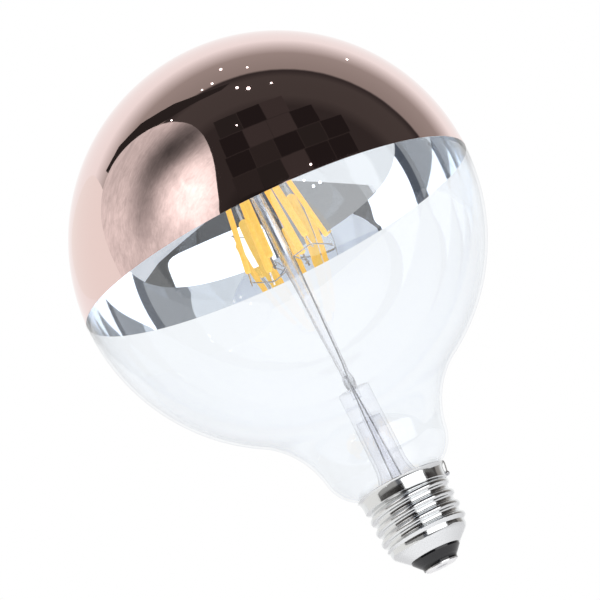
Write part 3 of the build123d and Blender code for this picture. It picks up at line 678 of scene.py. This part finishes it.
def studio_world():
    """White behind the bulb, grey walls at its sides and a dark room behind the camera."""
    world = bpy.data.worlds.new("studio")
    world.use_nodes = True
    tree = world.node_tree
    tree.nodes.clear()
    place = node(tree, "ShaderNodeTexCoord").outputs["Generated"]
    facing = node(
        tree, "ShaderNodeVectorMath", {0: place, 1: studio_direction(*ROOM_MIDDLE)}, operation="DOT_PRODUCT"
    ).outputs["Value"]
    angle = node(tree, "ShaderNodeMath", {0: facing}, operation="ARCCOSINE").outputs[0]
    share = node(tree, "ShaderNodeMath", {0: angle, 1: math.pi}, operation="DIVIDE").outputs[0]
    ramp = node(tree, "ShaderNodeValToRGB", {"Fac": share})
    shades = ramp.color_ramp.elements
    shades.remove(shades[1])
    shades[0].color = linear(ROOM_SHADES[0][1])
    for degrees, colour in ROOM_SHADES[1:]:
        shades.new(degrees / 180).color = linear(colour)
    seen = node(tree, "ShaderNodeLightPath").outputs["Is Camera Ray"]
    room, white = ramp.outputs["Color"], linear("#FFFFFF")
    shown = node(
        tree, "ShaderNodeMix", {"Factor": seen, "A": room, "B": white}, data_type="RGBA"
    ).outputs["Result"]
    light = node(tree, "ShaderNodeBackground", {"Color": shown, "Strength": 1.0}).outputs[0]
    node(tree, "ShaderNodeOutputWorld", {"Surface": light})
    bpy.context.scene.world = world


def creased_cloth():
    """Lit cloth over a softbox: brightest at its lower right, with a dark fold and fine creases across it."""
    material, tree = new_material("creased_cloth")
    place = node(tree, "ShaderNodeTexCoord").outputs["Object"]
    strength = 1.0
    for right, up, reach, change in CLOTH_SPOTS:
        spot = MIDDLE + studio_direction(right, up) * SOFTBOX_DISTANCE
        edge = math.radians(reach) * SOFTBOX_DISTANCE
        away = node(tree, "ShaderNodeVectorMath", {0: place, 1: spot}, operation="DISTANCE").outputs["Value"]
        share = node(
            tree,
            "ShaderNodeMapRange",
            {"Value": away, "From Max": edge, "To Min": change, "To Max": 1.0},
            interpolation_type="SMOOTHSTEP",
        ).outputs[0]
        strength = node(tree, "ShaderNodeMath", {0: strength, 1: share}, operation="MULTIPLY").outputs[0]
    for waves, detail, least, most in CLOTH_WAVES:
        turned_place = node(
            tree, "ShaderNodeMapping", {"Vector": place, "Rotation": CLOTH_TURN, "Scale": waves}
        ).outputs[0]
        creases = node(tree, "ShaderNodeTexNoise", {
            "Vector": turned_place,
            "Scale": 1.0,
            "Detail": detail,
            "Roughness": 0.65,
            "Distortion": 0.8,
        }).outputs["Fac"]
        cloth = node(tree, "ShaderNodeMapRange", {
            "Value": creases,
            "From Min": 0.3,
            "From Max": 0.7,
            "To Min": least,
            "To Max": most,
        }).outputs[0]
        strength = node(tree, "ShaderNodeMath", {0: strength, 1: cloth}, operation="MULTIPLY").outputs[0]
    light = node(tree, "ShaderNodeEmission", {"Color": linear("#EAE6E4"), "Strength": strength})
    return surfaced(material, light)


def ceiling_tiles():
    """Tiles of four dark shades on the ceiling of the room behind the camera."""
    tiles = [glow(f"ceiling_tile_{number}", shade) for number, shade in enumerate(TILE_SHADES, start=1)]
    chance = random.Random(TILE_SEED)
    for row in range(TILE_ROWS):
        for column in range(TILE_COLUMNS):
            start = TILES_START + TILE_COLUMN_STEP * column + TILE_ROW_STEP * row
            corners = [start, start + TILE_ACROSS, start + TILE_ACROSS + TILE_UP, start + TILE_UP]
            if corners[2].length < TILES_EDGE:
                name = f"tile_{row + 1}_{column + 1}"
                panel(name, corners, chance.choice(tiles), TILE_DISTANCE, rings=TILE_RINGS)


def studio():
    """What the mirrors and the cap show: softboxes, walls, paper and small lamps round the bulb."""
    studio_world()
    panel("softbox_left", rounded(SOFTBOX_LEFT), creased_cloth(), SOFTBOX_DISTANCE)
    panel("shadow_band", SHADOW_BAND, glow("room_shadow", "#2B2827"), SHADOW_DISTANCE)
    ceiling_tiles()
    softbox_right = oblong(SOFTBOX_RIGHT_CENTRE, SOFTBOX_RIGHT_REACH, SOFTBOX_RIGHT_TILT)
    panel("softbox_right", softbox_right, glow("softbox_white", "#FFFFFF", strength=2.0), SOFTBOX_DISTANCE)
    panel("wall_left", WALL_LEFT, glow("slate_wall", "#A6A4A2"), WALL_LEFT_DISTANCE)
    paper = glow("paper", "#FBF9F6")
    panel("paper_high", rounded(PAPER_HIGH), paper, PAPER_HIGH_DISTANCE)
    panel("paper_left", PAPER_LEFT, paper, PAPER_LEFT_DISTANCE)
    panel("wall_right", WALL_RIGHT, glow("dusk_wall", "#6A6866"), WALL_RIGHT_DISTANCE)
    panel("gap_between", DARK_GAP, glow("dark_gap", "#5E6066"), GAP_DISTANCE)
    lamp = glow("small_lamp", "#FFFFFF", strength=6.0)
    for number, (right, up, size) in enumerate(LAMPS, start=1):
        disc = arc((right, up), size, 0, 360, LAMP_STEPS)[:-1]
        panel(f"lamp_{number}", disc, lamp, LAMP_DISTANCE, rings=1)


def floor():
    """A plain pale floor far below the bulb, with some light of its own for the studio's lamps on it."""
    material, tree = new_material("pale_floor")
    shade = linear("#F3F3F5")
    shader = node(tree, "ShaderNodeBsdfPrincipled", {
        "Base Color": shade,
        "Roughness": 0.9,
        "Emission Color": shade,
        "Emission Strength": 0.6,
    })
    signs = ((-1, -1), (1, -1), (1, 1), (-1, 1))
    corners = [(x * FLOOR_HALF_WIDTH, y * FLOOR_HALF_WIDTH, FLOOR_HEIGHT) for x, y in signs]
    stage_mesh("floor", corners, [(0, 1, 2, 3)], surfaced(material, shader))


def camera():
    """A long lens from below the globe's middle, rolled so that the cap points to the lower right."""
    right = ACROSS * math.cos(VIEW_ROLL) - UPRIGHT * math.sin(VIEW_ROLL)
    up = ACROSS * math.sin(VIEW_ROLL) + UPRIGHT * math.cos(VIEW_ROLL)
    data = bpy.data.cameras.new("camera")
    data.lens = LENS
    data.sensor_width = SENSOR_WIDTH
    data.clip_end = CAMERA_REACH
    metres_per_pixel = VIEW_DISTANCE / (LENS / SENSOR_WIDTH * PICTURE)
    offset = right * (PICTURE / 2 - GLOBE_IN_PICTURE[0]) - up * (PICTURE / 2 - GLOBE_IN_PICTURE[1])
    place = MIDDLE - AHEAD * VIEW_DISTANCE
    look = (MIDDLE + offset * metres_per_pixel - place).normalized()
    right = look.cross(up).normalized()
    up = right.cross(look)
    thing = bpy.data.objects.new("camera", data)
    thing.matrix_world = Matrix.Translation(place) @ Matrix((right, up, -look)).transposed().to_4x4()
    bpy.context.collection.objects.link(thing)
    bpy.context.scene.camera = thing


def light_and_colour():
    """Plain colours, and enough bounces for light that meets the glass and the silver many times."""
    scene = bpy.context.scene
    scene.view_settings.view_transform = "Standard"
    scene.cycles.transparent_max_bounces = 32
    scene.cycles.glossy_bounces = 12
    scene.cycles.transmission_bounces = 16
    scene.cycles.max_bounces = 24


glass_and_mirror()
cap_shell()
dress_cage()
dress_cap_and_driver()
studio()
floor()
camera()
light_and_colour()
